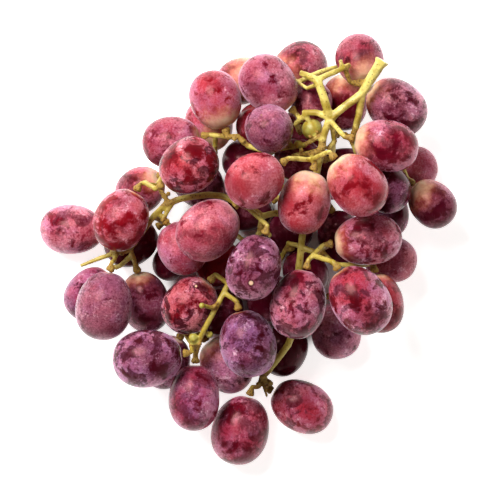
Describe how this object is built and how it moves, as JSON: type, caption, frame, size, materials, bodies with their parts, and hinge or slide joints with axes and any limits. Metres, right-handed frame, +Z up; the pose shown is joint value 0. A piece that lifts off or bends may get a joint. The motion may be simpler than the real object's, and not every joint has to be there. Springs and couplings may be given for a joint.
{
  "type": "bunch of grapes",
  "caption": "Bunch of large red table grapes on a branched green stalk, lying on its side on a surface.",
  "frame": {"origin": "on the surface that the bunch lies on, under the middle of its outline", "axes": "+Z up from the surface, +Y towards the head of the bunch where the stalk is cut, +X to the right seen from above"},
  "size_m": [0.1678, 0.1736, 0.0696],
  "materials": {
    "skin_crimson": "satin",
    "skin_rose": "satin",
    "skin_plum": "satin",
    "stalk": "satin"
  },
  "bodies": {
    "root": {"berry_01": "skin_rose", "berry_02": "skin_rose", "berry_03": "skin_rose", "berry_04": "skin_rose", "berry_05": "skin_crimson", "berry_06": "skin_plum", "berry_07": "skin_crimson", "berry_08": "skin_rose", "berry_09": "skin_plum", "berry_10": "skin_rose", "berry_11": "skin_rose", "berry_12": "skin_plum", "berry_13": "skin_crimson", "berry_14": "skin_plum", "berry_15": "skin_rose", "berry_16": "skin_crimson", "berry_17": "skin_rose", "berry_18": "skin_crimson", "berry_19": "skin_crimson", "berry_20": "skin_plum", "berry_21": "skin_plum", "berry_22": "skin_rose", "berry_23": "skin_plum", "berry_24": "skin_crimson", "berry_25": "skin_crimson", "berry_26": "skin_crimson", "berry_27": "skin_rose", "berry_28": "skin_plum", "berry_29": "skin_rose", "berry_30": "skin_crimson", "berry_31": "skin_rose", "berry_32": "skin_plum", "berry_33": "skin_crimson", "berry_34": "skin_plum", "berry_35": "skin_plum", "berry_36": "skin_rose", "berry_37": "skin_crimson", "berry_38": "skin_plum", "berry_39": "skin_crimson", "berry_40": "skin_plum", "berry_41": "skin_plum", "berry_42": "skin_plum", "berry_43": "skin_rose", "berry_44": "skin_plum", "berry_45": "skin_plum", "berry_46": "skin_rose", "berry_47": "skin_crimson", "berry_48": "skin_plum", "berry_49": "skin_plum", "berry_50": "skin_plum", "berry_51": "skin_rose", "berry_52": "skin_plum", "berry_53": "skin_plum", "berry_54": "skin_crimson", "berry_55": "skin_plum", "berry_56": "skin_plum", "berry_57": "skin_plum", "berry_58": "skin_plum", "berry_59": "skin_plum", "stalk": "stalk"}
  },
  "joints": []
}
